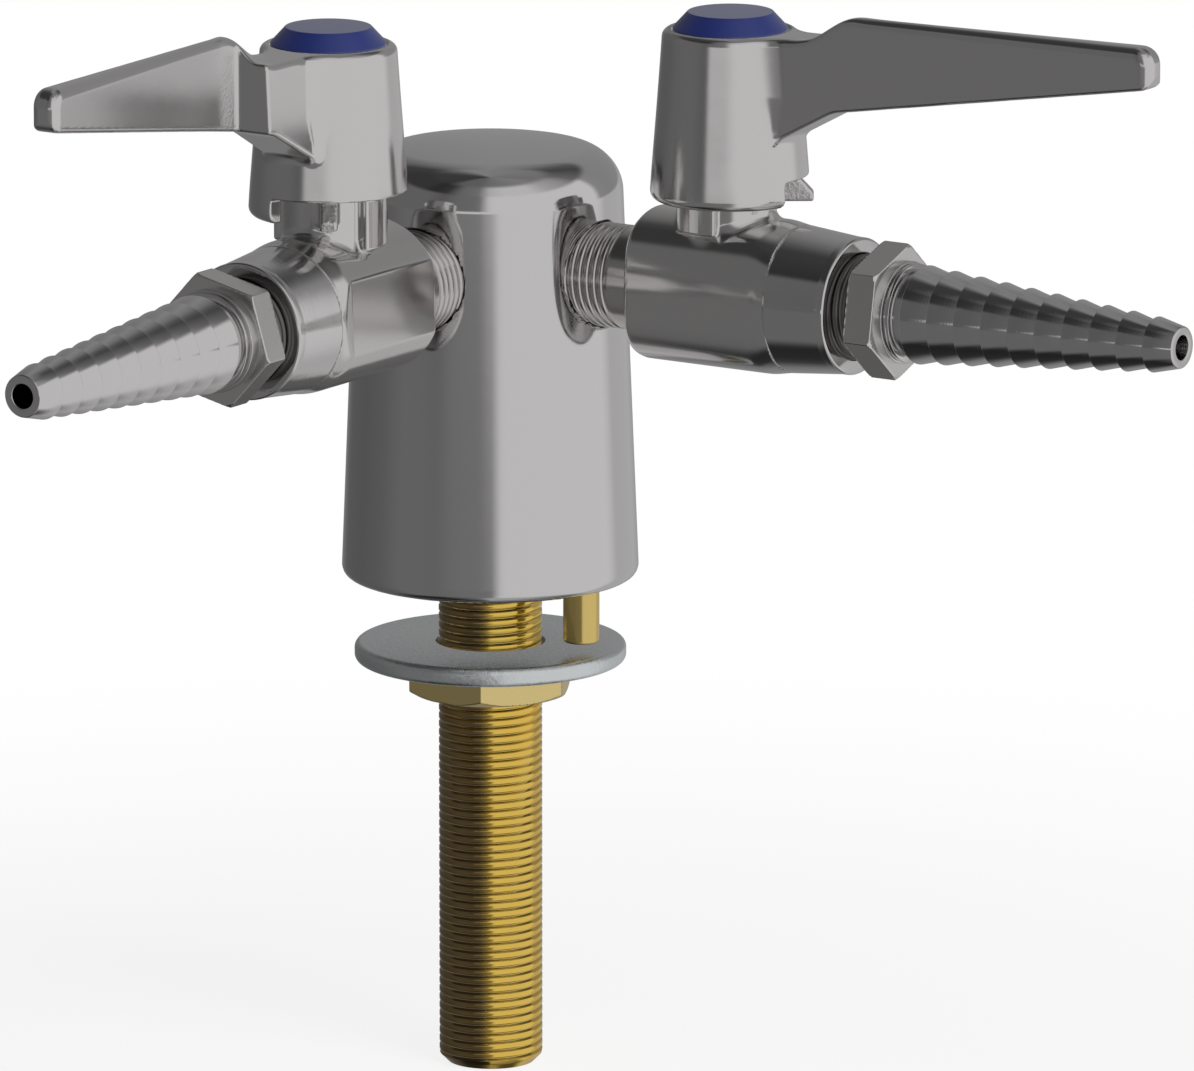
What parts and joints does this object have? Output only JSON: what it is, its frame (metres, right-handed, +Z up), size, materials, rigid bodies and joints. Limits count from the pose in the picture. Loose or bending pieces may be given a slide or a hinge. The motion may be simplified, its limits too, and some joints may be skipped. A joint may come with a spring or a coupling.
{
  "type": "laboratory turret fitting",
  "caption": "Deck-mounted laboratory turret with lever ball valves at right angles, serrated hose nozzles and a threaded shank.",
  "frame": {"origin": "centre of the turret's deck face, on the axis of the shank", "axes": "+Z up along the shank's axis; the right valve points along +X and the left valve along -Y"},
  "size_m": [0.1576, 0.1576, 0.1839],
  "materials": {
    "chrome": "polished chrome plate on brass",
    "turned_chrome": "chrome plate over turned brass, with fine tool marks",
    "nickel_thread": "plated pipe thread",
    "shank_brass": "bare threaded brass",
    "nut_brass": "bare pale brass",
    "pin_brass": "bare drawn brass",
    "inner_brass": "turned brass",
    "zinc": "zinc-plated steel with a speckled edge",
    "screw_steel": "stainless steel",
    "ball_chrome": "polished",
    "ptfe": "white, waxy",
    "cap_blue": "satin moulded plastic"
  },
  "bodies": {
    "turret": {"turret_body": "chrome", "shank": "shank_brass", "anti_rotation_pin": "pin_brass", "right_nipple": "nickel_thread", "right_valve_body": "chrome", "right_end_piece": "chrome", "right_inlet_seat": "ptfe", "right_outlet_seat": "ptfe", "right_thrust_washer": "ptfe", "right_stem_packing": "ptfe", "right_packing_nut": "inner_brass", "right_hose_nozzle": "turned_chrome", "left_nipple": "nickel_thread", "left_valve_body": "chrome", "left_end_piece": "chrome", "left_inlet_seat": "ptfe", "left_outlet_seat": "ptfe", "left_thrust_washer": "ptfe", "left_stem_packing": "ptfe", "left_packing_nut": "inner_brass", "left_hose_nozzle": "turned_chrome"},
    "washer": {"deck_washer": "zinc"},
    "nut": {"lock_nut": "nut_brass"},
    "right_lever": {"right_handle": "chrome", "right_handle_screw": "screw_steel", "right_index_cap": "cap_blue", "right_stem": "inner_brass", "right_ball": "ball_chrome"},
    "left_lever": {"left_handle": "chrome", "left_handle_screw": "screw_steel", "left_index_cap": "cap_blue", "left_stem": "inner_brass", "left_ball": "ball_chrome"}
  },
  "joints": [
    {"name": "right_lever_turn", "type": "hinge", "parent": "turret", "child": "right_lever", "pos_m": [0.047, 0, 0.0965], "axis": [0, 0, -1], "range_deg": [0, 90]},
    {"name": "left_lever_turn", "type": "hinge", "parent": "turret", "child": "left_lever", "pos_m": [0, -0.047, 0.0965], "axis": [0, 0, -1], "range_deg": [0, 90]},
    {"name": "washer_slide", "type": "slide", "parent": "turret", "child": "washer", "axis": [0, 0, 1], "range_m": [-0.06, 0.0012]},
    {"name": "nut_spin", "type": "hinge", "parent": "washer", "child": "nut", "pos_m": [0, 0, -0.017], "axis": [0, 0, 1], "range_deg": [-15308, 307]}
  ],
  "couplings": [
    {"joint": "nut_spin", "follows": "washer_slide", "rad_per_m": 4452.7}
  ]
}
